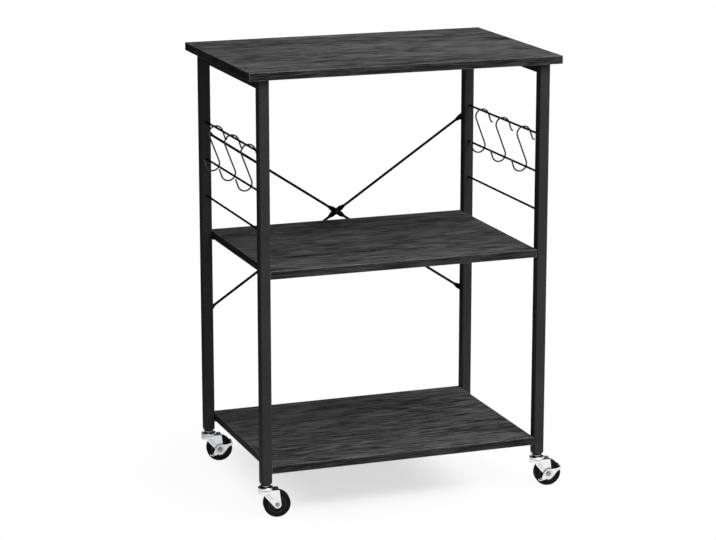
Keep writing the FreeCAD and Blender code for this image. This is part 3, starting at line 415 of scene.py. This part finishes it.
def start_tree(name, inputs):
    """Geometry tree with a geometry input and output, and named inputs for its sizes."""
    tree = bpy.data.node_groups.new(name, "GeometryNodeTree")
    tree.interface.new_socket(name="Geometry", in_out="INPUT", socket_type="NodeSocketGeometry")
    for label, kind in inputs:
        tree.interface.new_socket(name=label, in_out="INPUT", socket_type="NodeSocket" + kind)
    tree.interface.new_socket(name="Geometry", in_out="OUTPUT", socket_type="NodeSocketGeometry")
    return tree, add_node(tree, "NodeGroupInput")


def end_tree(tree, geometry, material):
    """Make every instance real, give it the material and close the tree."""
    real = add_node(tree, "GeometryNodeRealizeInstances", None, {"Geometry": geometry})
    last = add_node(
        tree, "GeometryNodeSetMaterial", None, {"Geometry": real[0], "Material": material})
    add_node(tree, "NodeGroupOutput", None, {"Geometry": last[0]})


def grow(source, tree, values, name):
    """Run a geometry tree on a source mesh and keep the result as a plain piece of the cart."""
    modifier = source.modifiers.new(tree.name, "NODES")
    modifier.node_group = tree
    for item in tree.interface.items_tree:
        if item.in_out == "INPUT" and item.name in values:
            modifier[item.identifier] = values[item.name]
    source.update_tag()
    graph = bpy.context.evaluated_depsgraph_get()
    mesh = bpy.data.meshes.new_from_object(source.evaluated_get(graph))
    bpy.data.objects.remove(source)
    piece = bpy.data.objects.new(name, mesh)
    bpy.context.scene.collection.objects.link(piece)
    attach(piece, "cart")
    return piece


def weld_tree():
    """Bead of small ripples that follows any path."""
    points_per_ripple = 4
    # With each ripple the radius swells and shrinks by a tenth, and every point starts from
    # nine tenths of the bead's radius and gets a chance share more.
    swelling, thinnest = 0.1, 0.9
    bead_sides = 8
    tree, given = start_tree("weld_bead", (
        ("Bead Radius", "Float"), ("Ripple", "Float"), ("Unevenness", "Float"), ("Seed", "Int"),
        ("Material", "Material")))
    path = add_node(tree, "GeometryNodeMeshToCurve", None, {"Mesh": given["Geometry"]})
    step = add_node(
        tree, "ShaderNodeMath", {"operation": "DIVIDE"},
        {0: given["Ripple"], 1: points_per_ripple})
    fine = add_node(
        tree, "GeometryNodeResampleCurve", {"mode": "LENGTH"},
        {"Curve": path[0], "Length": step[0]})
    index = add_node(tree, "GeometryNodeInputIndex")
    phase = add_node(
        tree, "ShaderNodeMath", {"operation": "MULTIPLY"},
        {0: index[0], 1: 2 * math.pi / points_per_ripple})
    wave = add_node(tree, "ShaderNodeMath", {"operation": "SINE"}, {0: phase[0]})
    swell = add_node(
        tree, "ShaderNodeMath", {"operation": "MULTIPLY_ADD"},
        {0: wave[0], 1: swelling, 2: 1 - swelling})
    chance = add_node(
        tree, "FunctionNodeRandomValue", {"data_type": "FLOAT"}, {"Seed": given["Seed"]})
    uneven = add_node(
        tree, "ShaderNodeMath", {"operation": "MULTIPLY_ADD"},
        {0: given["Unevenness"], 1: chance["Value"], 2: thinnest})
    both = add_node(
        tree, "ShaderNodeMath", {"operation": "MULTIPLY"}, {0: swell[0], 1: uneven[0]})
    radius = add_node(
        tree, "ShaderNodeMath", {"operation": "MULTIPLY"}, {0: given["Bead Radius"], 1: both[0]})
    profile = add_node(
        tree, "GeometryNodeCurvePrimitiveCircle", None, {"Resolution": bead_sides, "Radius": 1.0})
    bead = add_node(tree, "GeometryNodeCurveToMesh", None, {
        "Curve": fine[0], "Profile Curve": profile[0], "Scale": radius[0], "Fill Caps": True})
    smooth = add_node(
        tree, "GeometryNodeSetShadeSmooth", None, {"Geometry": bead[0], "Shade Smooth": True})
    end_tree(tree, smooth[0], given["Material"])
    return tree


def ring(centre, radius, count=20):
    """Points and closing edges of a ring round Y."""
    turns = [2 * math.pi * step / count for step in range(count)]
    points = [centre + Vector((math.cos(turn), 0, math.sin(turn))) * radius for turn in turns]
    return points, [(step, (step + 1) % count) for step in range(count)]


def weld_paths():
    """Rod ends, top rail ends and shelf tabs: every place where the frame is welded."""
    tube_corner = 2.5 * MM
    tab_weld = (0.6 * MM, 8.4 * MM)
    paths = []
    for name in named("rod_"):
        low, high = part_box(name)
        middle = (low + high) / 2
        for y in (low.y, high.y):
            paths.append(ring(Vector((middle.x, y, middle.z)), (high.x - low.x) / 2))
    for name in named("top_rail_"):
        low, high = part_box(name)
        for y in (low.y, high.y):
            corners = [
                (low.x, y, high.z - tube_corner), (low.x, y, low.z + tube_corner),
                (low.x + tube_corner, y, low.z), (high.x - tube_corner, y, low.z),
                (high.x, y, low.z + tube_corner), (high.x, y, high.z - tube_corner)]
            paths.append((corners, [(step, step + 1) for step in range(len(corners) - 1)]))
    # A tab's weld runs under it, from the middle of the leg's face inwards.
    tab_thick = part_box("bottom_shelf")[0].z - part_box("shelf_tabs")[0].z
    for board in ("middle_shelf", "bottom_shelf"):
        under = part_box(board)[0].z - tab_thick
        for corner in CORNERS:
            low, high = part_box("leg_" + corner)
            face = high.x if "left" in corner else low.x
            middle = (low.y + high.y) / 2
            inwards = 1 if "front" in corner else -1
            ends = [(face, middle + inwards * reach, under) for reach in tab_weld]
            paths.append((ends, [(0, 1)]))
    return paths


def screw_tree():
    """Pan head screws with a cross recess, one on each point, turned to the point's direction."""
    tree, given = start_tree("cross_head_screw", (
        ("Head Radius", "Float"), ("Head Height", "Float"), ("Shank Radius", "Float"),
        ("Length", "Float"), ("Thread Pitch", "Float"), ("Turns", "Int"),
        ("Direction", "Vector"), ("Material", "Material")))

    # The head is a cylinder whose top falls to its rim by this share of its height.
    head_sides, head_rings = 40, 6
    rim_drop, roundness = 0.55, 2.4
    head = add_node(tree, "GeometryNodeMeshCylinder", {"fill_type": "TRIANGLE_FAN"}, {
        "Vertices": head_sides, "Side Segments": 1, "Fill Segments": head_rings,
        "Radius": given["Head Radius"], "Depth": given["Head Height"]})
    position = add_node(tree, "GeometryNodeInputPosition")
    spot = add_node(tree, "ShaderNodeSeparateXYZ", None, {"Vector": position[0]})
    flat = add_node(tree, "ShaderNodeCombineXYZ", None, {"X": spot["X"], "Y": spot["Y"]})
    reach = add_node(tree, "ShaderNodeVectorMath", {"operation": "LENGTH"}, {0: flat[0]})
    share = add_node(
        tree, "ShaderNodeMath", {"operation": "DIVIDE"},
        {0: reach["Value"], 1: given["Head Radius"]})
    curve = add_node(tree, "ShaderNodeMath", {"operation": "POWER"}, {0: share[0], 1: roundness})
    fall = add_node(
        tree, "ShaderNodeMath", {"operation": "MULTIPLY"}, {0: curve[0], 1: given["Head Height"]})
    drop = add_node(
        tree, "ShaderNodeMath", {"operation": "MULTIPLY"}, {0: fall[0], 1: -rim_drop})
    above = add_node(
        tree, "ShaderNodeMath", {"operation": "GREATER_THAN"}, {0: spot["Z"], 1: 0.0})
    lower = add_node(tree, "ShaderNodeCombineXYZ", None, {"Z": drop[0]})
    cut = add_node(tree, "GeometryNodeSetPosition", None, {
        "Geometry": head["Mesh"], "Selection": above[0], "Offset": lower[0]})[0]

    # The recess is a cross about half as wide as the head, with arms a fifth of its radius
    # thick. Two bars as high as the head cut it, raised by the share that is left below it.
    cross_wide, cross_thin, cross_rise = 1.05, 0.2, 0.42
    wide, thin, rise = [
        add_node(tree, "ShaderNodeMath", {"operation": "MULTIPLY"}, {0: given[size], 1: part})[0]
        for size, part in (
            ("Head Radius", cross_wide), ("Head Radius", cross_thin), ("Head Height", cross_rise))]
    up = add_node(tree, "ShaderNodeCombineXYZ", None, {"Z": rise})
    for x, y in ((wide, thin), (thin, wide)):
        size = add_node(
            tree, "ShaderNodeCombineXYZ", None, {"X": x, "Y": y, "Z": given["Head Height"]})
        bar = add_node(tree, "GeometryNodeMeshCube", None, {"Size": size[0]})
        raised = add_node(
            tree, "GeometryNodeTransform", None, {"Geometry": bar["Mesh"], "Translation": up[0]})
        cut = add_node(
            tree, "GeometryNodeMeshBoolean", {"operation": "DIFFERENCE", "solver": "EXACT"},
            {"Mesh 1": cut, "Mesh 2": raised[0]})[0]

    # The thread is a spiral tooth of four sides round a plain core.
    turn_points, tooth_sides, core_sides = 24, 4, 20
    crest_share = 0.4
    rows = add_node(
        tree, "ShaderNodeMath", {"operation": "MULTIPLY"},
        {0: given["Turns"], 1: given["Thread Pitch"]})
    spiral = add_node(tree, "GeometryNodeCurveSpiral", None, {
        "Resolution": turn_points, "Rotations": given["Turns"],
        "Start Radius": given["Shank Radius"], "End Radius": given["Shank Radius"],
        "Height": rows[0]})
    crest = add_node(
        tree, "ShaderNodeMath", {"operation": "MULTIPLY"},
        {0: given["Thread Pitch"], 1: crest_share})
    tooth = add_node(
        tree, "GeometryNodeCurvePrimitiveCircle", None,
        {"Resolution": tooth_sides, "Radius": crest[0]})
    thread = add_node(tree, "GeometryNodeCurveToMesh", None, {
        "Curve": spiral[0], "Profile Curve": tooth[0], "Fill Caps": True})
    core = add_node(tree, "GeometryNodeMeshCylinder", None, {
        "Vertices": core_sides, "Radius": given["Shank Radius"], "Depth": given["Length"]})

    # The head stands on the point and the core hangs below it. The thread starts near the tip.
    head_lift, core_lift, thread_start = 0.5, -0.5, -0.96
    parts = []
    for mesh, size, lift in (
            (cut, "Head Height", head_lift), (core["Mesh"], "Length", core_lift),
            (thread[0], "Length", thread_start)):
        along = add_node(
            tree, "ShaderNodeMath", {"operation": "MULTIPLY"}, {0: given[size], 1: lift})
        offset = add_node(tree, "ShaderNodeCombineXYZ", None, {"Z": along[0]})
        moved = add_node(
            tree, "GeometryNodeTransform", None, {"Geometry": mesh, "Translation": offset[0]})
        parts.append(moved[0])
    whole = add_node(tree, "GeometryNodeJoinGeometry", None, {"Geometry": parts})
    facing = add_node(
        tree, "FunctionNodeAlignRotationToVector", {"axis": "Z"}, {"Vector": given["Direction"]})
    screws = add_node(tree, "GeometryNodeInstanceOnPoints", None, {
        "Points": given["Geometry"], "Instance": whole[0], "Rotation": facing[0]})
    end_tree(tree, screws[0], given["Material"])
    return tree


def screw_sizes(sizes, kind, direction, material):
    """Inputs of the screw tree for one kind of screw, threaded almost to its head."""
    threaded = 0.88
    pitch = getattr(sizes, kind + "_pitch")
    return {
        "Head Radius": getattr(sizes, kind + "_head"),
        "Head Height": getattr(sizes, kind + "_high"),
        "Shank Radius": getattr(sizes, kind + "_shank"),
        "Length": sizes.long, "Thread Pitch": pitch,
        "Turns": round(threaded * sizes.long / pitch),
        "Direction": direction, "Material": material}


def put_camera(settings):
    """The photograph's viewing angle: the camera's place, turn, tilt and lens."""
    # Fitted to the edges of the boards, legs and wheels in the photograph, with no lens shift.
    place = (-1.62061, -4.34671, 1.50813)
    yaw = math.radians(20.052)
    pitch = math.radians(-13.43)
    sensor_wide = 36
    farthest = 50
    camera = bpy.data.objects.new("camera", bpy.data.cameras.new("camera"))
    bpy.context.scene.collection.objects.link(camera)
    aim = Vector((
        math.sin(yaw) * math.cos(pitch), math.cos(yaw) * math.cos(pitch), math.sin(pitch)))
    camera.rotation_euler = aim.to_track_quat("-Z", "Y").to_euler()
    camera.location = place
    camera.data.sensor_width = sensor_wide
    camera.data.lens = settings.lens
    camera.data.clip_end = farthest
    bpy.context.scene.camera = camera


def soft_lamp(name, place, side, watts, aim=(0, 0, 0.4)):
    """Square lamp that faces a point near the cart's middle."""
    lamp = bpy.data.lights.new(name, "AREA")
    lamp.shape = "RECTANGLE"
    lamp.size = side
    lamp.size_y = side
    lamp.energy = watts
    holder = bpy.data.objects.new(name, lamp)
    holder.location = place
    holder.rotation_euler = (Vector(aim) - Vector(place)).to_track_quat("-Z", "Y").to_euler()
    bpy.context.scene.collection.objects.link(holder)


def white_for(tree, light, gloss):
    """Strength of a white ground: 1 to the camera, and its own as light and in gloss and glass."""
    rays = add_node(tree, "ShaderNodeLightPath")
    bounced = add_node(
        tree, "ShaderNodeMath", {"operation": "MAXIMUM"},
        {0: rays["Is Glossy Ray"], 1: rays["Is Transmission Ray"]})
    unseen = add_node(
        tree, "ShaderNodeMix", {"data_type": "FLOAT"},
        {"Factor": bounced[0], "A": light, "B": gloss})
    return add_node(
        tree, "ShaderNodeMix", {"data_type": "FLOAT"},
        {"Factor": rays["Is Camera Ray"], "A": unseen["Result"], "B": 1.0})["Result"]


def white_background():
    """White to the camera; to the cart a soft light, stronger from the front right and above."""
    brightest = (0.78, -0.58, 0.2)
    # The level goes from its lowest to its highest between these two shares of that direction.
    dim_from, bright_from = -0.25, 0.6
    light_levels, gloss_levels = (0.1, 1.25), (0.06, 1.0)
    world = bpy.data.worlds.new("studio")
    world.use_nodes = True
    tree = world.node_tree
    tree.nodes.clear()
    place = add_node(tree, "ShaderNodeTexCoord")
    towards = add_node(
        tree, "ShaderNodeVectorMath", {"operation": "DOT_PRODUCT"},
        {0: place["Generated"], 1: brightest})
    levels = []
    for low, high in (light_levels, gloss_levels):
        levels.append(add_node(tree, "ShaderNodeMapRange", {"interpolation_type": "SMOOTHSTEP"}, {
            "Value": towards["Value"], "From Min": dim_from, "From Max": bright_from,
            "To Min": low, "To Max": high})[0])
    light = add_node(tree, "ShaderNodeBackground", None, {
        "Color": (1, 1, 1, 1), "Strength": white_for(tree, *levels)})
    add_node(tree, "ShaderNodeOutputWorld", None, {"Surface": light[0]})
    bpy.context.scene.world = world


def studio_floor(settings):
    """White sweep that keeps the cart's soft shadow and is plain white further out."""
    half_side = 9
    material, tree, place = start_material("white_sweep")
    # Only a share of the floor shows the lamps' light and the shadow in it. The share is large
    # in a block left of the cart's middle, and small round it.
    block_middle, block_half = (-0.05, 0, 0), (0.08, 0.19, 0)
    deep_share, faint_share = 0.36, 0.07
    moved = add_node(
        tree, "ShaderNodeVectorMath", {"operation": "SUBTRACT"}, {0: place, 1: block_middle})
    folded = add_node(tree, "ShaderNodeVectorMath", {"operation": "ABSOLUTE"}, {0: moved[0]})
    past = add_node(
        tree, "ShaderNodeVectorMath", {"operation": "SUBTRACT"}, {0: folded[0], 1: block_half})
    outside = add_node(
        tree, "ShaderNodeVectorMath", {"operation": "MAXIMUM"}, {0: past[0], 1: (0, 0, 0)})
    shares = []
    for source, near, far, most in (
            (outside[0], 0.0, 0.2, deep_share), (place, 0.32, 0.6, faint_share)):
        reach = add_node(tree, "ShaderNodeVectorMath", {"operation": "LENGTH"}, {0: source})
        shares.append(add_node(tree, "ShaderNodeMapRange", {"interpolation_type": "SMOOTHSTEP"}, {
            "Value": reach["Value"], "From Min": near, "From Max": far,
            "To Min": most, "To Max": 0.0})[0])
    lit_share = add_node(
        tree, "ShaderNodeMath", {"operation": "MAXIMUM"}, {0: shares[0], 1: shares[1]})
    lit_tone = add_node(tree, "ShaderNodeCombineXYZ", None, {
        "X": lit_share[0], "Y": lit_share[0], "Z": lit_share[0]})
    lit = add_node(tree, "ShaderNodeBsdfDiffuse", None, {"Color": lit_tone[0]})
    rest = add_node(
        tree, "ShaderNodeMath", {"operation": "SUBTRACT"}, {0: 1.0, 1: lit_share[0]})
    # Gloss sees the floor white in front of the cart and dimmer behind it.
    forwards = (0.5, -0.7, 0)
    dim_from, white_from, dimmest = -0.8, 0.1, 0.1
    floor_light = 0.22
    ahead = add_node(
        tree, "ShaderNodeVectorMath", {"operation": "DOT_PRODUCT"}, {0: place, 1: forwards})
    mirrored = add_node(tree, "ShaderNodeMapRange", {"interpolation_type": "SMOOTHSTEP"}, {
        "Value": ahead["Value"], "From Min": dim_from, "From Max": white_from,
        "To Min": dimmest})
    strength = add_node(
        tree, "ShaderNodeMath", {"operation": "MULTIPLY"},
        {0: rest[0], 1: white_for(tree, floor_light, mirrored[0])})
    own = add_node(tree, "ShaderNodeEmission", None, {
        "Color": tinted(settings.floor, 1), "Strength": strength[0]})
    both = add_node(tree, "ShaderNodeAddShader", None, {0: lit[0], 1: own[0]})
    # Seen from below, the floor is clear, so that the cart's underside shows.
    below = add_node(tree, "ShaderNodeNewGeometry")["Backfacing"]
    clear = add_node(tree, "ShaderNodeBsdfTransparent")
    sheet = add_node(
        tree, "ShaderNodeMixShader", None, {0: below, 1: both[0], 2: clear[0]})
    add_node(tree, "ShaderNodeOutputMaterial", None, {"Surface": sheet[0]})
    corners = [
        (x * half_side, y * half_side, 0) for x, y in ((-1, -1), (1, -1), (1, 1), (-1, 1))]
    floor = source_mesh("floor", corners, faces=[(0, 1, 2, 3)])
    floor.data.materials.append(material)


class CART_OT_boards(bpy.types.Operator):
    """Finish the top board and the two shelves in black oak laminate"""

    bl_idname = "cart.boards"
    bl_label = "Boards"

    def execute(self, context):
        material = black_oak_laminate(context.scene.cart_boards)
        finish_nodes(material, ("top_board", "middle_shelf", "bottom_shelf"))
        return {"FINISHED"}


class CART_OT_frame(bpy.types.Operator):
    """Powder coat the legs, rails and tabs, and the rods and the brace"""

    bl_idname = "cart.frame"
    bl_label = "Frame"

    def execute(self, context):
        settings = context.scene.cart_metal
        legs = powder_coat("satin_powder_coat", settings.paint, settings)
        finish_nodes(legs, named("leg_front", "leg_back", "top_rail_", "shelf_tabs"))
        rods = powder_coat("thin_powder_coat", settings.rod, settings)
        finish_nodes(rods, named("rod_", "brace_bar_"))
        return {"FINISHED"}


class CART_OT_welds(bpy.types.Operator):
    """Lay weld beads where rods, rails and tabs meet the legs"""

    bl_idname = "cart.welds"
    bl_label = "Weld Beads"

    def execute(self, context):
        settings = context.scene.cart_metal
        points, edges = [], []
        for corners, sides in weld_paths():
            edges += [(a + len(points), b + len(points)) for a, b in sides]
            points += corners
        grow(source_mesh("weld_paths", points, edges), weld_tree(), {
            "Bead Radius": settings.bead, "Ripple": settings.ripple,
            "Unevenness": settings.uneven, "Seed": settings.seed,
            "Material": bpy.data.materials["satin_powder_coat"]},
            "weld_beads")
        return {"FINISHED"}


class CART_OT_screws(bpy.types.Operator):
    """Turn in the cross head screws of the brace, the shelves and the top board"""

    bl_idname = "cart.screws"
    bl_label = "Screws"

    def execute(self, context):
        sizes = context.scene.cart_screws
        material = black_zinc(context.scene.cart_metal)
        finish_nodes(material, ("brace_rivet", "brace_rivet_nuts"))
        tree = screw_tree()

        head = sizes.brace_head
        low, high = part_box("brace_screws")
        places = [(x, high.y - sizes.brace_high, z) for x in (low.x + head, high.x - head)
                  for z in (low.z + head, high.z - head)]
        outwards = (0, 1, 0)
        brace = grow(
            source_mesh("brace_screw_places", places), tree,
            screw_sizes(sizes, "brace", outwards, material), "brace_screws_turned")
        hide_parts("brace_screws")

        head = sizes.board_head
        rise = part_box("middle_shelf")[0].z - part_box("bottom_shelf")[0].z
        places = []
        for name, rises in (("shelf_screws", (0, rise)), ("top_board_screws", (0,))):
            low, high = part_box(name)
            places += [(x, y, low.z + sizes.board_high + up)
                       for x in (low.x + head, high.x - head)
                       for y in (low.y + head, high.y - head) for up in rises]
        downwards = (0, 0, -1)
        boards = grow(
            source_mesh("board_screw_places", places), tree,
            screw_sizes(sizes, "board", downwards, material), "board_screws_turned")
        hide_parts("shelf_screws", "top_board_screws")
        return {"FINISHED"}


class CART_OT_plugs(bpy.types.Operator):
    """Finish the moulded plugs of the legs and the hubs of the wheels"""

    bl_idname = "cart.plugs"
    bl_label = "Moulded Plugs and Hubs"

    def execute(self, context):
        material = moulded_plastic(context.scene.cart_rubber)
        finish_nodes(material, named("leg_plug_", "wheel_hub_"))
        return {"FINISHED"}


class CART_OT_casters(bpy.types.Operator):
    """Finish the plated steel of the casters and the rubber of the wheels"""

    bl_idname = "cart.casters"
    bl_label = "Casters"

    def execute(self, context):
        settings = context.scene.cart_metal
        zinc = bright_zinc("bright_zinc_plate", shade_factor=1.0, settings=settings)
        finish_nodes(zinc, named("caster_stem_", "caster_fork_", "brake_lever_"))
        # The axles and the balls get a darker copy of the same zinc: painted shade.
        shaded = bright_zinc("shaded_zinc_plate", shade_factor=0.35, settings=settings)
        finish_nodes(shaded, named("caster_axle_", "caster_balls_"))
        finish_nodes(tyre_rubber(context.scene.cart_rubber), named("wheel_tyre_"))
        return {"FINISHED"}


class CART_OT_hooks(bpy.types.Operator):
    """Finish the six wire hooks"""

    bl_idname = "cart.hooks"
    bl_label = "Hooks"

    def execute(self, context):
        finish_nodes(wire_coat(context.scene.cart_metal), named("hook_"))
        return {"FINISHED"}


class CART_OT_stage(bpy.types.Operator):
    """Set up the floor, the lamps and the camera"""

    bl_idname = "cart.stage"
    bl_label = "Stage"

    def execute(self, context):
        settings = context.scene.cart_stage
        context.scene.view_settings.view_transform = "Standard"
        studio_floor(settings)
        white_background()
        soft_lamp("key", place=(1.0, -2.2, 3.3), side=1.6, watts=settings.key)
        soft_lamp("over", place=(0.4, -0.4, 2.7), side=2.0, watts=settings.over)
        put_camera(settings)
        return {"FINISHED"}


STEPS = (
    CART_OT_boards, CART_OT_frame, CART_OT_welds, CART_OT_screws, CART_OT_plugs,
    CART_OT_casters, CART_OT_hooks, CART_OT_stage)
GROUPS = (
    ("cart_boards", CartBoardSettings), ("cart_metal", CartMetalSettings),
    ("cart_screws", CartScrewSettings), ("cart_rubber", CartRubberSettings),
    ("cart_stage", CartStageSettings))


class CART_PT_panel(bpy.types.Panel):
    """Sizes, colours and steps of the cart"""

    bl_idname = "CART_PT_panel"
    bl_label = "Serving Cart"
    bl_space_type = "VIEW_3D"
    bl_region_type = "UI"
    bl_category = "Cart"

    def draw(self, context):
        for name, group in GROUPS:
            box = self.layout.box()
            box.label(text=group.__doc__)
            for field in group.__annotations__:
                box.prop(getattr(context.scene, name), field)
        for step in STEPS:
            self.layout.operator(step.bl_idname)


def register():
    for name, group in GROUPS:
        bpy.utils.register_class(group)
        setattr(bpy.types.Scene, name, bpy.props.PointerProperty(type=group))
    for step in STEPS:
        bpy.utils.register_class(step)
    bpy.utils.register_class(CART_PT_panel)


def unregister():
    bpy.utils.unregister_class(CART_PT_panel)
    for step in reversed(STEPS):
        bpy.utils.unregister_class(step)
    for name, group in reversed(GROUPS):
        delattr(bpy.types.Scene, name)
        bpy.utils.unregister_class(group)


def main():
    register()
    bpy.ops.cart.boards()
    bpy.ops.cart.frame()
    bpy.ops.cart.welds()
    bpy.ops.cart.screws()
    bpy.ops.cart.plugs()
    bpy.ops.cart.casters()
    bpy.ops.cart.hooks()
    bpy.ops.cart.stage()


if __name__ == "__main__":
    main()
